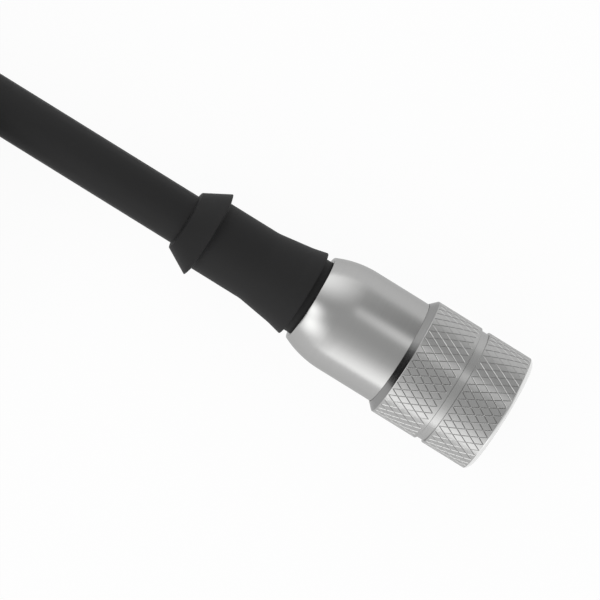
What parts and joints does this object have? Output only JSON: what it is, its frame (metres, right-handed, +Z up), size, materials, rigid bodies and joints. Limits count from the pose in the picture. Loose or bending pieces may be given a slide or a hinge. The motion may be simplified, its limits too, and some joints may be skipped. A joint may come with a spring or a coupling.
{
  "type": "circular connector with moulded cable",
  "caption": "Screw-coupled round socket connector, metal nut and shell, moulded onto a shielded cable that is folded in a hank with free wire ends.",
  "frame": {"origin": "bottom centre of the connector's own box, without the cable: under the axis, on the surface that it lies on", "axes": "+X along the connector's axis, out of its mating front; +Z up; the cable leaves towards -X and its hank lies on the -Y side"},
  "size_m": [0.2198, 0.0622, 0.0199],
  "materials": {
    "nickel_plating": "smooth satin nickel plating on turned brass",
    "spring_steel": "plain rolled spring steel",
    "carrier_plastic": "black glass-filled moulding",
    "grip_plastic": "matte black overmoulding",
    "sleeve_plastic": "natural moulding",
    "seal_rubber": "black seal rubber",
    "cable_jacket": "matte black extruded jacket",
    "tie_rubber": "black rubber band",
    "gilt_contact": "thin gilt plating on turned contacts",
    "tinned_copper": "tinned copper strand",
    "insulation_brown": "smooth extruded insulation",
    "insulation_white": "smooth extruded insulation",
    "insulation_blue": "smooth extruded insulation",
    "insulation_black": "smooth extruded insulation",
    "insulation_grey": "smooth extruded insulation"
  },
  "bodies": {
    "cordset": {"nut_snap_ring": "spring_steel", "shield_shell": "nickel_plating", "contact_carrier": "carrier_plastic", "carrier_lock_ring": "spring_steel", "seal_ring": "seal_rubber", "contact_1": "gilt_contact", "contact_2": "gilt_contact", "contact_3": "gilt_contact", "contact_4": "gilt_contact", "contact_5": "gilt_contact", "conductor_1": "insulation_brown", "conductor_2": "insulation_white", "conductor_3": "insulation_blue", "conductor_4": "insulation_black", "conductor_5": "insulation_grey", "wire_sleeve": "sleeve_plastic", "cable_entry": "cable_jacket", "screen_braid": "tinned_copper", "crimp_ferrule": "nickel_plating", "moulded_grip": "grip_plastic", "cable": "cable_jacket", "cable_hank": "cable_jacket", "hank_tie_1": "tie_rubber", "hank_tie_2": "tie_rubber", "lead_brown": "insulation_brown", "lead_white": "insulation_white", "lead_blue": "insulation_blue", "lead_black": "insulation_black", "lead_grey": "insulation_grey", "lead_tips": "tinned_copper"},
    "nut": {"coupling_nut": "nickel_plating"}
  },
  "joints": [
    {"name": "nut_spin", "type": "hinge", "parent": "cordset", "child": "nut", "pos_m": [0, 0, 0.0075], "axis": [1, 0, 0], "continuous": true}
  ]
}
